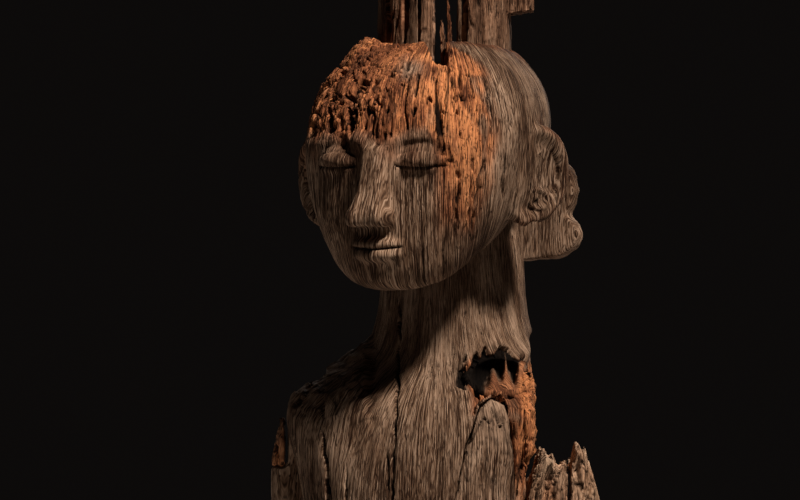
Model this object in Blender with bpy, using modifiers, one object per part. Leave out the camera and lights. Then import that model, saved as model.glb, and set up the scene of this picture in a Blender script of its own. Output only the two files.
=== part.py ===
"""Carved ancestor figure: a half figure cut from one log, with the rotted remains of a tall crest on
the crown and of both shoulders, standing on two steel rods over a steel base plate.

Run with: blender --background --python part.py
Metres, +Z up. The figure faces -Y and its left hand is at +X. The origin is the centre of the base's
underside, so the log's own axis is the Z axis.
"""

import math

import bmesh
import bpy
from mathutils import Matrix, Vector

# Gaps between pieces.
TOUCH = 0.0003  # two pieces that rest on or against each other
CRACK = 0.0025  # the open splits that part a fragment from the log
ROD_CLEARANCE = 0.0006  # a rod in its bore, so that the figure lifts off
SEAT_CLEARANCE = 0.0006  # a crest stave in its seat

# The stand, from the bottom up.
FELT_THICKNESS = 0.002
PLATE_WIDTH = 0.300
PLATE_DEPTH = 0.300
PLATE_THICKNESS = 0.010
PLATE_CORNER = 0.004
CUSHION_THICKNESS = 0.003
ROD_RADIUS = 0.008
ROD_SPACING = 0.080
ROD_REACH = 0.110  # how far a rod goes up into the log
ROD_TIP = 0.003
SCREW_RADIUS = 0.003
SCREW_HEAD_RADIUS = 0.0062
SCREW_HEAD_DEPTH = 0.0035
SCREW_REACH = 0.018  # thread length inside the rod

# The log.
TRUNK_HEIGHT = 0.438  # from the sawn foot to the shoulder line
SHOULDER_HALF_WIDTH = 0.130
TRUNK_HALF_DEPTH = 0.090
NECK_LENGTH = 0.076  # from the shoulder line to the chin
NECK_RADIUS = 0.060
NECK_SETBACK = 0.047  # the neck stands behind the log's axis
ARM_RADIUS = 0.016
FOOT_SHARE = 0.64  # the sawn foot's half width, as a share of the shoulders'
CUSHION_SHARE = 0.92  # the felt disc's radius, as a share of the foot's half width

# The head.
HEAD_HEIGHT = 0.202  # from the chin to the crown
HEAD_HALF_WIDTH = 0.096
HEAD_DEPTH = 0.222
HEAD_FRONT = -0.122  # the plane of the brow
EAR_REACH = 0.031
EAR_HALF_HEIGHT = 0.040
EAR_HALF_THICKNESS = 0.012
EAR_TURN = math.radians(40)  # the ears open forwards by this much
EAR_LEAN = math.radians(12)  # and their tips lean out by this much
NAPE_BOARD_THICKNESS = 0.016

# The face. Levels are shares of the head's height, from the chin.
EYE_LEVEL = 0.50
NOSE_LEVEL = 0.25
MOUTH_LEVEL = 0.165
EYE_SHARE = 0.37  # how far out the eyes stand, as a share of the head's half width
EYE_TURN = math.radians(22)  # each eye lies round the curve of the brow by this much
SOCKET_RADII = (0.027, 0.009, 0.019)
LID_RADII = (0.0182, 0.0105, 0.0105)
LID_STANDS_OFF = 0.0030  # how far the lids stand out of the face
NOSE_HALF_WIDTH = 0.0160
NOSE_REACH = 0.023
LIP_HALF_WIDTH = 0.0210
LIP_DEPTH = 0.0095
UPPER_LIP_HALF_HEIGHT = 0.0050
LOWER_LIP_HALF_HEIGHT = 0.0056

# The crest: the split wall of what was once a hollowed post.
CREST_RADIUS = 0.055
CREST_WALL = 0.015
CREST_HEIGHT = 0.150  # from the seat in the crown to the tallest splinter
CREST_AXIS_Y = 0.026
CREST_SEAT_DEPTH = 0.032  # below the highest point of the crown
CREST_HOLLOW_DEPTH = 0.012  # the rotted heart, below the seat
CREST_CLEFT_TURN = math.radians(16)  # the cleft in the crown, from the front towards +X

# The log split along planes that stand this far round from front and back.
SPLIT_TURN = math.radians(22)

# Half sizes of what rot has hollowed out of the left shoulder, and of the web left in the armpit.
ROT_HOLE_RADII = (0.026, 0.030, 0.017)
HEART_HOLLOW_RADII = (0.022, 0.026, 0.056)
ARMPIT_WEB_RADII = (0.034, 0.024, 0.060)
PLATE_SEAT_GAP = 0.0015  # the split round the tongue of old surface

# How finely round forms are cut.
CAGE_SIDES = 20
LIMB_SIDES = 8
ROUND_STEPS = 24
WELD_DISTANCE = 0.00002

# Levels that follow from the sizes.
PLATE_BOTTOM = FELT_THICKNESS + TOUCH
PLATE_TOP = PLATE_BOTTOM + PLATE_THICKNESS
CUSHION_BOTTOM = PLATE_TOP + TOUCH
CUSHION_TOP = CUSHION_BOTTOM + CUSHION_THICKNESS
FOOT_Z = CUSHION_TOP + TOUCH
SHOULDER_Z = FOOT_Z + TRUNK_HEIGHT
CHIN_Z = SHOULDER_Z + NECK_LENGTH
CROWN_Z = CHIN_Z + HEAD_HEIGHT
CREST_SEAT_Z = CROWN_Z - CREST_SEAT_DEPTH
FOOT_HALF_WIDTH = FOOT_SHARE * SHOULDER_HALF_WIDTH
NECK_FRONT = NECK_SETBACK - NECK_RADIUS
NECK_BACK = NECK_SETBACK + NECK_RADIUS


def collection_named(name):
    """A new collection in the scene."""
    made = bpy.data.collections.new(name)
    bpy.context.scene.collection.children.link(made)
    return made


for old in list(bpy.data.objects):
    bpy.data.objects.remove(old)
PARTS = collection_named("carved_ancestor_figure")
HELPERS = collection_named("forms_and_cutters")


def material(name, colour, roughness, metallic=0.0):
    made = bpy.data.materials.new(name)
    made.use_nodes = True
    shader = made.node_tree.nodes["Principled BSDF"]
    shader.inputs["Base Color"].default_value = (*colour, 1.0)
    shader.inputs["Roughness"].default_value = roughness
    shader.inputs["Metallic"].default_value = metallic
    return made


GREY_WOOD = material("weathered_wood", (0.26, 0.20, 0.15), 0.80)
RED_WOOD = material("rotted_red_wood", (0.33, 0.15, 0.08), 0.90)
PALE_WOOD = material("pale_soft_wood", (0.47, 0.36, 0.26), 0.90)
DARK_WOOD = material("dark_end_wood", (0.10, 0.07, 0.05), 0.90)
BLACK_STEEL = material("black_steel", (0.03, 0.03, 0.03), 0.45, 1.0)
BARE_STEEL = material("bare_steel", (0.55, 0.55, 0.56), 0.30, 1.0)
FELT = material("black_felt", (0.02, 0.02, 0.02), 0.95)


def placed(name, mesh, finish=None):
    """An object in the scene: a part if it has a finish, or else a hidden form or cutter."""
    obj = bpy.data.objects.new(name, mesh)
    if finish is None:
        HELPERS.objects.link(obj)
        obj.hide_render = True
        obj.display_type = "WIRE"
    else:
        PARTS.objects.link(obj)
        obj.data.materials.clear()
        obj.data.materials.append(finish)
    return obj


def mesh_from(bm, name):
    bmesh.ops.recalc_face_normals(bm, faces=bm.faces)
    mesh = bpy.data.meshes.new(name)
    bm.to_mesh(mesh)
    bm.free()
    return mesh


def loft(name, rings, finish=None, smooth_levels=0):
    """A closed skin over rings of equal point counts, first ring to last, with a flat cap on each end."""
    bm = bmesh.new()
    loops = [[bm.verts.new(point) for point in ring] for ring in rings]
    for lower, upper in zip(loops, loops[1:]):
        for i in range(len(lower)):
            j = (i + 1) % len(lower)
            bm.faces.new((lower[i], lower[j], upper[j], upper[i]))
    bm.faces.new(reversed(loops[0]))
    bm.faces.new(loops[-1])
    obj = placed(name, mesh_from(bm, name), finish)
    if smooth_levels:
        smooth = obj.modifiers.new("smooth", "SUBSURF")
        smooth.levels = smooth.render_levels = smooth_levels
        obj.data.shade_smooth()
    return obj


def plan_ring(z, half_width, front, back, squareness):
    """A horizontal section of the log: an oval, squarer as squareness rises above 2."""
    centre, half_depth, power = (front + back) / 2, (back - front) / 2, 2 / squareness
    ring = []
    for i in range(CAGE_SIDES):
        turn = 2 * math.pi * i / CAGE_SIDES
        c, s = math.cos(turn), math.sin(turn)
        x = half_width * math.copysign(abs(c) ** power, c)
        y = centre + half_depth * math.copysign(abs(s) ** power, s)
        ring.append((x, y, z))
    return ring


def plank(name, outline, front, back, finish=None, turn=0.0, about=(0, 0, 0)):
    """A board in the XZ plane with this outline, from front to back along Y, then turned about Z."""
    bm = bmesh.new()
    face = bm.faces.new([bm.verts.new((x, front, z)) for x, z in outline])
    grown = bmesh.ops.extrude_face_region(bm, geom=[face])["geom"]
    moved = [v for v in grown if isinstance(v, bmesh.types.BMVert)]
    bmesh.ops.translate(bm, verts=moved, vec=(0, back - front, 0))
    bmesh.ops.rotate(bm, verts=bm.verts, cent=about, matrix=Matrix.Rotation(turn, 3, "Z"))
    return placed(name, mesh_from(bm, name), finish)


def turned(name, profile, centre, finish=None, steps=ROUND_STEPS):
    """A turned solid. The profile is (radius, height) pairs down its outer side, from top to bottom."""
    mesh = bpy.data.meshes.new(name)
    edges = [(i, i + 1) for i in range(len(profile) - 1)]
    mesh.from_pydata([(r, 0, z) for r, z in profile], edges, [])
    obj = placed(name, mesh, finish)
    obj.location = centre
    screw = obj.modifiers.new("turn", "SCREW")
    screw.steps = screw.render_steps = steps
    screw.use_merge_vertices = True
    screw.merge_threshold = 0.00001
    return obj


def ball(name, centre, radii, turn=0.0, lean=0.0, sides=20, rows=12):
    """A squashed sphere, leaning sideways and then turned about Z."""
    bm = bmesh.new()
    bmesh.ops.create_uvsphere(bm, u_segments=sides, v_segments=rows, radius=1)
    stand = Matrix.Rotation(turn, 4, "Z") @ Matrix.Rotation(lean, 4, "Y")
    bmesh.ops.transform(
        bm, matrix=Matrix.Translation(centre) @ stand @ Matrix.Diagonal((*radii, 1)), verts=bm.verts
    )
    return placed(name, mesh_from(bm, name))


def combine(obj, other, operation):
    """Joins another form to this one, or cuts it away, with a live Boolean."""
    step = obj.modifiers.new(other.name, "BOOLEAN")
    step.object, step.operation, step.solver = other, operation, "EXACT"


def weld(obj):
    """Closes up the specks of edge that a cut through a corner leaves."""
    step = obj.modifiers.new("weld", "WELD")
    step.merge_threshold = WELD_DISTANCE


def solid_copy(source, name, finish=None):
    """The finished shape of a form as a mesh of its own."""
    weld(source)
    bpy.context.view_layer.update()
    graph = bpy.context.evaluated_depsgraph_get()
    return placed(name, bpy.data.meshes.new_from_object(source.evaluated_get(graph)), finish)


# ------------------------------------------------------------------ the stand
def make_stand():
    """Felt, steel plate, cushion, and two rods, each held by a countersunk screw from below."""
    for name, bottom, height, width, depth, finish in (
        ("base_felt", 0, FELT_THICKNESS, PLATE_WIDTH, PLATE_DEPTH, FELT),
        ("base_plate", PLATE_BOTTOM, PLATE_THICKNESS, PLATE_WIDTH, PLATE_DEPTH, BLACK_STEEL),
    ):
        bm = bmesh.new()
        bmesh.ops.create_cube(bm, size=1)
        centre = Matrix.Translation((0, 0, bottom + height / 2))
        bmesh.ops.transform(bm, matrix=centre @ Matrix.Diagonal((width, depth, height, 1)), verts=bm.verts)
        uprights = [e for e in bm.edges if abs(e.verts[0].co.z - e.verts[1].co.z) > height / 2]
        bmesh.ops.bevel(bm, geom=uprights, offset=PLATE_CORNER, segments=3, affect="EDGES", profile=0.5)
        placed(name, mesh_from(bm, name), finish)
    plate = bpy.data.objects["base_plate"]

    # The cushion is a felt-faced disc a little smaller than the sawn foot that it carries.
    cushion_radius = CUSHION_SHARE * FOOT_HALF_WIDTH
    cushion = turned(
        "foot_cushion",
        [
            (0, CUSHION_TOP),
            (cushion_radius, CUSHION_TOP),
            (cushion_radius, CUSHION_BOTTOM),
            (0, CUSHION_BOTTOM),
        ],
        (0, 0, 0),
        FELT,
        steps=32,
    )
    rod_top = FOOT_Z + ROD_REACH
    for side, x in (("right", -ROD_SPACING / 2), ("left", ROD_SPACING / 2)):
        rod = turned(
            f"rod_{side}",
            [
                (0, rod_top),
                (ROD_RADIUS - ROD_TIP, rod_top),
                (ROD_RADIUS, rod_top - ROD_TIP),
                (ROD_RADIUS, CUSHION_BOTTOM),
                (0, CUSHION_BOTTOM),
            ],
            (x, 0, 0),
            BARE_STEEL,
        )
        screw_top, head_top = CUSHION_BOTTOM + SCREW_REACH, PLATE_BOTTOM + SCREW_HEAD_DEPTH
        turned(
            f"rod_screw_{side}",
            [
                (0, screw_top),
                (SCREW_RADIUS, screw_top),
                (SCREW_RADIUS, head_top),
                (SCREW_HEAD_RADIUS, PLATE_BOTTOM + TOUCH),
                (0, PLATE_BOTTOM + TOUCH),
            ],
            (x, 0, 0),
            BARE_STEEL,
            steps=16,
        )
        hole = SCREW_RADIUS + TOUCH
        cutter = turned(
            f"screw_hole_{side}",
            [
                (0, screw_top + TOUCH),
                (hole, screw_top + TOUCH),
                (hole, head_top),
                (SCREW_HEAD_RADIUS + 2 * TOUCH, PLATE_BOTTOM + TOUCH),
                (SCREW_HEAD_RADIUS + 2 * TOUCH, PLATE_BOTTOM - FELT_THICKNESS),
                (0, PLATE_BOTTOM - FELT_THICKNESS),
            ],
            (x, 0, 0),
            steps=16,
        )
        combine(rod, cutter, "DIFFERENCE")
        combine(plate, cutter, "DIFFERENCE")
        clearance = turned(
            f"rod_bore_{side}",
            [
                (0, rod_top + CRACK),
                (ROD_RADIUS + ROD_CLEARANCE, rod_top + CRACK),
                (ROD_RADIUS + ROD_CLEARANCE, PLATE_TOP),
                (0, PLATE_TOP),
            ],
            (x, 0, 0),
        )
        combine(cushion, clearance, "DIFFERENCE")


# ------------------------------------------------------------------ the log, before it rotted
# Each row: share of the trunk's height, of the shoulder's half width, of the half depth in front and
# behind, and squareness.
TRUNK_ROWS = (
    (0.000, FOOT_SHARE, -0.92, 0.92, 2.0),
    (0.180, 0.66, -0.94, 0.94, 2.0),
    (0.270, 0.72, -0.96, 1.02, 2.1),
    (0.380, 0.80, -0.97, 1.12, 2.2),
    (0.480, 0.65, -0.97, 0.92, 2.2),
    (0.580, 0.67, -1.02, 0.84, 2.2),
    (0.680, 0.73, -0.97, 0.86, 2.2),
    (0.780, 0.80, -0.93, 0.92, 2.2),
    (0.860, 0.87, -0.89, 0.97, 2.3),
    (0.920, 0.96, -0.80, 1.02, 2.4),
    (0.965, 1.00, -0.70, 1.06, 2.5),
    (1.000, 0.95, -0.52, 1.10, 2.5),
)

# Each row: share of the neck's length above the shoulder line (1 is the chin), of its radius, and of
# the way that the front and back stand out past the neck proper.
NECK_ROWS = (
    (0.12, 1.72, 0.35, 0.00),
    (0.28, 1.32, 0.14, 0.00),
    (0.50, 1.08, 0.05, 0.00),
    (0.90, 0.99, 0.00, 0.00),
    (1.60, 0.95, -0.05, 0.00),
    (2.10, 0.86, -0.15, -0.03),
    (2.50, 0.70, -0.30, -0.20),
)

# Each row: share of the head's height from the chin, of its half width, where its front and back lie
# between the brow's plane and the back of the skull, and squareness.
HEAD_ROWS = (
    (0.00, 0.16, 0.13, 0.21, 2.0),
    (0.03, 0.36, 0.06, 0.33, 2.1),
    (0.08, 0.49, 0.03, 0.46, 2.2),
    (0.16, 0.62, 0.01, 0.60, 2.2),
    (0.26, 0.76, 0.00, 0.74, 2.3),
    (0.37, 0.87, 0.00, 0.87, 2.3),
    (0.49, 0.95, 0.00, 0.96, 2.3),
    (0.61, 1.00, 0.00, 1.01, 2.3),
    (0.73, 0.98, 0.03, 1.03, 2.2),
    (0.83, 0.89, 0.10, 1.00, 2.2),
    (0.91, 0.75, 0.20, 0.95, 2.1),
    (0.97, 0.58, 0.34, 0.88, 2.0),
    (1.00, 0.40, 0.48, 0.80, 2.0),
)


def head_level(share):
    return CHIN_Z + share * HEAD_HEIGHT


def make_trunk():
    rings = [
        plan_ring(
            FOOT_Z + height * TRUNK_HEIGHT,
            width * SHOULDER_HALF_WIDTH,
            front * TRUNK_HALF_DEPTH,
            back * TRUNK_HALF_DEPTH,
            squareness,
        )
        for height, width, front, back, squareness in TRUNK_ROWS
    ]
    rings += [
        plan_ring(
            SHOULDER_Z + height * NECK_LENGTH,
            width * NECK_RADIUS,
            NECK_FRONT - front * NECK_RADIUS,
            NECK_BACK + back * NECK_RADIUS,
            2.1,
        )
        for height, width, front, back in NECK_ROWS
    ]
    # The sawn foot keeps its edge: a second ring just above it holds the smoothing off.
    rings.insert(1, [(x, y, z + PLATE_THICKNESS / 2) for x, y, z in rings[0]])
    return loft("trunk_form", rings, smooth_levels=1)


def make_head():
    rings = [
        plan_ring(
            head_level(height),
            width * HEAD_HALF_WIDTH,
            HEAD_FRONT + front * HEAD_DEPTH,
            HEAD_FRONT + back * HEAD_DEPTH,
            squareness,
        )
        for height, width, front, back, squareness in HEAD_ROWS
    ]
    return loft("head_form", rings, smooth_levels=1)


def make_arm(side, sign):
    """An arm that hangs clear of the flank and brings its hand to the belly.

    Each station: share of the shoulder's half width, share of the half depth, share of the trunk's
    height, and the limb's half width and half thickness in arm radii.
    """
    stations = (
        (0.80, 0.10, 0.955, 1.00, 1.00),
        (0.94, 0.10, 0.930, 1.30, 1.10),
        (0.99, 0.10, 0.870, 1.20, 1.00),
        (1.00, 0.10, 0.760, 1.05, 0.92),
        (1.00, 0.12, 0.660, 1.00, 0.90),
        (0.95, 0.05, 0.585, 1.02, 0.95),
        (0.88, -0.25, 0.545, 0.92, 0.88),
        (0.71, -0.58, 0.530, 0.80, 0.78),
        (0.52, -0.78, 0.525, 0.78, 0.62),
        (0.37, -0.91, 0.520, 1.00, 0.50),
        (0.20, -1.00, 0.515, 0.85, 0.42),
        (0.10, -1.00, 0.512, 0.50, 0.30),
    )
    points = [
        Vector((sign * x * SHOULDER_HALF_WIDTH, y * TRUNK_HALF_DEPTH, FOOT_Z + z * TRUNK_HEIGHT))
        for x, y, z, _, _ in stations
    ]
    rings = []
    for i, (point, station) in enumerate(zip(points, stations)):
        along = (points[min(i + 1, len(points) - 1)] - points[max(i - 1, 0)]).normalized()
        # The limb's thickness is measured outwards from the body, its width across that.
        outwards = Vector((point.x, point.y, 0)).normalized()
        outwards = (outwards - outwards.dot(along) * along).normalized()
        across = along.cross(outwards)
        wide, thick = station[3] * ARM_RADIUS, station[4] * ARM_RADIUS
        rings.append(
            [
                point + across * wide * math.cos(turn) + outwards * thick * math.sin(turn)
                for turn in (2 * math.pi * k / LIMB_SIDES for k in range(LIMB_SIDES))
            ]
        )
    return loft(f"arm_form_{side}", rings, smooth_levels=1)


def face_front(share_x, level):
    """Y of the face's surface, at a share of its half width and at a share of the head's height."""
    rows = [row for row in HEAD_ROWS if row[0] >= level]
    front, back, squareness = rows[0][2], rows[0][3], rows[0][4]
    bulge = (1 - share_x**squareness) ** (1 / squareness)
    centre, half = (front + back) / 2, (back - front) / 2
    return HEAD_FRONT + (centre - half * bulge) * HEAD_DEPTH


def carve_face(form):
    """A calm, closed face: lids at half the head's height, the nose a quarter below them, the mouth a
    third of the way from nose to chin."""
    for side, sign in (("right", -1), ("left", 1)):
        eye_x, turn = sign * EYE_SHARE * HEAD_HALF_WIDTH, sign * EYE_TURN
        surface = face_front(EYE_SHARE, EYE_LEVEL)
        centre = (eye_x, surface - 0.001, head_level(EYE_LEVEL + 0.03))
        combine(form, ball(f"eye_socket_{side}", centre, SOCKET_RADII, turn), "DIFFERENCE")
        centre = (eye_x, surface + LID_RADII[1] - LID_STANDS_OFF, head_level(EYE_LEVEL))
        combine(form, ball(f"eyelid_{side}", centre, LID_RADII, turn), "UNION")
    nose_top, nose_base = head_level(EYE_LEVEL + 0.05), head_level(NOSE_LEVEL)
    ridge, tip = face_front(0, EYE_LEVEL) - 0.005, face_front(0, NOSE_LEVEL) - NOSE_REACH
    inside = HEAD_FRONT + 0.03
    # Each row: its height, its half width, how far out it stands, and the width of its worn corners.
    rows = (
        (nose_base, NOSE_HALF_WIDTH, tip, 0.006),
        (nose_base + 0.008, NOSE_HALF_WIDTH, tip - 0.001, 0.006),
        (head_level(0.38), 0.69 * NOSE_HALF_WIDTH, (ridge + tip) / 2 + 0.001, 0.004),
        (nose_top, 0.50 * NOSE_HALF_WIDTH, ridge, 0.003),
    )
    rings = []
    for z, w, out, corner in rows:
        half = [(w, inside, z), (w, out + corner, z), (w - corner, out, z)]
        rings.append([(-w, inside, z), *half, *((-x, y, z) for x, y, z in reversed(half[1:]))])
    combine(form, loft("nose_form", rings), "UNION")
    for name, level, half_height in (
        ("upper", MOUTH_LEVEL + 0.012, UPPER_LIP_HALF_HEIGHT),
        ("lower", MOUTH_LEVEL - 0.022, LOWER_LIP_HALF_HEIGHT),
    ):
        centre = (0, face_front(0, MOUTH_LEVEL) + 0.0045, head_level(level))
        radii = (LIP_HALF_WIDTH, LIP_DEPTH, half_height)
        combine(form, ball(f"lip_{name}", centre, radii), "UNION")


def carve_ears(form):
    """Broad ears that stand off the skull and open forwards, each with its bowl hollowed out."""
    for side, sign in (("right", -1), ("left", 1)):
        turn, lean = sign * EAR_TURN, sign * EAR_LEAN
        root = Vector((sign * 0.93 * HEAD_HALF_WIDTH, HEAD_FRONT + 0.47 * HEAD_DEPTH, head_level(0.45)))
        ear = ball(f"ear_form_{side}", root, (EAR_REACH, EAR_HALF_THICKNESS, EAR_HALF_HEIGHT), turn, lean)
        combine(form, ear, "UNION")
        stand = Matrix.Rotation(turn, 4, "Z") @ Matrix.Rotation(lean, 4, "Y")
        offset = Vector((sign * 0.45 * EAR_REACH, -0.95 * EAR_HALF_THICKNESS, 0.12 * EAR_HALF_HEIGHT))
        radii = (0.38 * EAR_REACH, 0.42 * EAR_HALF_THICKNESS, 0.55 * EAR_HALF_HEIGHT)
        combine(form, ball(f"ear_bowl_{side}", root + stand @ offset, radii, turn, lean), "DIFFERENCE")


def carve_nape_board(form):
    """A flat board of hair behind the nape, with two lobes down each side."""
    half = (
        (0.00, 0.11),
        (0.44, 0.115),
        (0.76, 0.13),
        (0.89, 0.17),
        (0.93, 0.22),
        (0.89, 0.27),
        (0.81, 0.30),
        (0.86, 0.34),
        (0.89, 0.40),
        (0.85, 0.48),
        (0.72, 0.54),
        (0.50, 0.585),
        (0.25, 0.61),
    )
    right = [(x * HEAD_HALF_WIDTH, head_level(z)) for x, z in half]
    left = [(-x, z) for x, z in reversed(right[1:])]
    back = NECK_BACK + NAPE_BOARD_THICKNESS / 2
    combine(form, plank("nape_board_form", right + left, back - NAPE_BOARD_THICKNESS, back), "UNION")


# ------------------------------------------------------------------ what rot has taken and parted
def wide_of(half_width_share):
    return half_width_share * SHOULDER_HALF_WIDTH


def trunk_level(share):
    return FOOT_Z + share * TRUNK_HEIGHT


def make_fragment(name, form, outline, front, back, finish):
    """What this outline holds of the figure as it was carved, split off as a piece of its own."""
    piece = plank(name, outline, front, back, finish, SPLIT_TURN)
    combine(piece, form, "INTERSECT")
    return piece


def split_away(log, name, outline, front=-0.25, back=0.25):
    """Cuts this outline out of the log, along the planes that it split on."""
    combine(log, plank(name, outline, front, back, turn=SPLIT_TURN), "DIFFERENCE")


def part_right_shoulder(form, log):
    """The outer shell of the right shoulder, split off along the grain."""
    inner, outer = wide_of(-0.895), wide_of(-1.40)
    low, high = trunk_level(0.845), trunk_level(0.945)
    top = trunk_level(1.20)
    split_away(log, "right_shell_cut", [(outer, low), (inner, low), (inner, top), (outer, top)])
    edge, rise = inner - CRACK, high - low
    outline = [
        (outer, low + TOUCH),
        (edge, low + TOUCH),
        (edge - 0.0004, low + 0.70 * rise),
        (edge - 0.0016, low + 0.93 * rise),
        (edge - 0.0045, high),
        (edge - 0.0065, low + 0.90 * rise),
        (edge - 0.0090, low + 0.95 * rise),
        (edge - 0.0125, low + 0.72 * rise),
        (outer, low + 0.50 * rise),
    ]
    make_fragment("right_shoulder_shell", form, outline, -0.25, 0.25, RED_WOOD)


def part_left_shoulder(form, log):
    """The left shoulder has rotted down to ragged stumps of sapwood, one of the flank, one of the arm."""
    far, low, top = wide_of(1.50), trunk_level(0.770), trunk_level(1.20)
    # The heartwood's new edge, from the bottom of the rot to the neck.
    heart = (
        (0.530, 0.770),
        (0.600, 0.865),
        (0.635, 0.900),
        (0.635, 0.970),
        (0.655, 0.990),
        (0.620, 1.030),
        (0.600, 1.090),
    )
    edge = [(wide_of(x), trunk_level(z)) for x, z in heart]
    split_away(log, "left_rot_cut", [*edge, (far, top), (far, low)])

    # The tops of the two stumps, by share of the shoulder's half width and of the trunk's height.
    flank_tops = (
        (0.655, 0.896),
        (0.690, 0.888),
        (0.700, 0.868),
        (0.720, 0.884),
        (0.735, 0.878),
        (0.760, 0.858),
        (0.815, 0.872),
    )
    arm_tops = (
        (0.840, 0.868),
        (0.862, 0.900),
        (0.885, 0.902),
        (0.905, 0.890),
        (0.930, 0.893),
        (0.975, 0.840),
        (1.030, 0.770),
    )
    crack_x, crack_foot = wide_of(0.815), low + TOUCH
    inner = [(x + CRACK, max(z, crack_foot)) for x, z in edge[:3]]
    flank = [*inner, *((wide_of(x), trunk_level(z)) for x, z in flank_tops), (crack_x, crack_foot)]
    make_fragment("left_flank_stump", form, flank, -0.25, 0.25, PALE_WOOD)
    arm = [(crack_x + CRACK, crack_foot)]
    arm += [(wide_of(x), max(trunk_level(z), crack_foot)) for x, z in arm_tops]
    make_fragment("left_arm_stump", form, arm, -0.25, 0.25, PALE_WOOD)

    # The rot hole under the neck, and the hollowed face of the heartwood below it.
    hole_at = (wide_of(0.51), -0.17 * TRUNK_HALF_DEPTH, SHOULDER_Z + 0.13 * NECK_LENGTH)
    combine(log, ball("rot_hole", hole_at, ROT_HOLE_RADII, sides=14, rows=8), "DIFFERENCE")
    face_at = (wide_of(0.76), -0.70 * TRUNK_HALF_DEPTH, trunk_level(0.91))
    combine(log, ball("heart_hollow", face_at, HEART_HOLLOW_RADII, sides=14, rows=8), "DIFFERENCE")


def part_left_plate(form, log):
    """A tongue of the sound old surface, held between two splits in front of the left shoulder."""
    outline = (
        (0.120, 0.772),
        (0.240, 0.772),
        (0.345, 0.780),
        (0.490, 0.790),
        (0.480, 0.850),
        (0.455, 0.930),
        (0.420, 0.970),
        (0.350, 0.980),
        (0.285, 0.965),
        (0.250, 0.930),
        (0.205, 0.895),
        (0.155, 0.820),
    )
    plate = [(wide_of(x), trunk_level(z)) for x, z in outline]
    centre = Vector((sum(x for x, _ in plate) / len(plate), sum(z for _, z in plate) / len(plate)))
    seat = []
    for point in plate:
        away = Vector(point) - centre
        seat.append(tuple(centre + away * (1 + PLATE_SEAT_GAP / away.length)))
    depth = -0.52 * TRUNK_HALF_DEPTH
    split_away(log, "left_plate_seat", seat, -0.25, depth + TOUCH)
    make_fragment("left_shoulder_plate", form, plate, -0.25, depth, GREY_WOOD)


def hollow_crown(log):
    """The round seat of the crest's wall, the rotted heart inside it, and the cleft in its front."""
    seat = CREST_RADIUS + SEAT_CLEARANCE
    heart = CREST_RADIUS - CREST_WALL - CRACK
    above = CROWN_Z + CREST_HEIGHT
    axis = (0, CREST_AXIS_Y, 0)
    profile = [(0, above), (seat, above), (seat, CREST_SEAT_Z), (0, CREST_SEAT_Z)]
    combine(log, turned("crest_seat", profile, axis, steps=32), "DIFFERENCE")
    floor = CREST_SEAT_Z - CREST_HOLLOW_DEPTH
    profile = [(0, above), (heart, above), (heart, CREST_SEAT_Z), (0.55 * heart, floor), (0, floor)]
    combine(log, turned("crest_heart", profile, axis, steps=20), "DIFFERENCE")
    foot = CREST_SEAT_Z + TOUCH
    cleft = [
        (-0.0015, foot),
        (0.0015, foot),
        (0.0065, CROWN_Z),
        (0.0065, above),
        (-0.0055, above),
        (-0.0055, CROWN_Z),
    ]
    front = CREST_AXIS_Y - 1.32 * CREST_RADIUS
    cutter = plank("crest_cleft", cleft, front, CREST_AXIS_Y, turn=CREST_CLEFT_TURN, about=axis)
    combine(log, cutter, "DIFFERENCE")


def stave_ring(start, end, inner, outer, z):
    """A slice of the crest's wall: outer arc one way, inner arc back. Angles are from the front, to +X."""
    arcs = 4
    points = []
    for radius, angles in (
        (outer, [start + (end - start) * i / arcs for i in range(arcs + 1)]),
        (inner, [end + (start - end) * i / arcs for i in range(arcs + 1)]),
    ):
        for angle in angles:
            turn = math.radians(angle)
            points.append((radius * math.sin(turn), CREST_AXIS_Y - radius * math.cos(turn), z))
    return points


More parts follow.
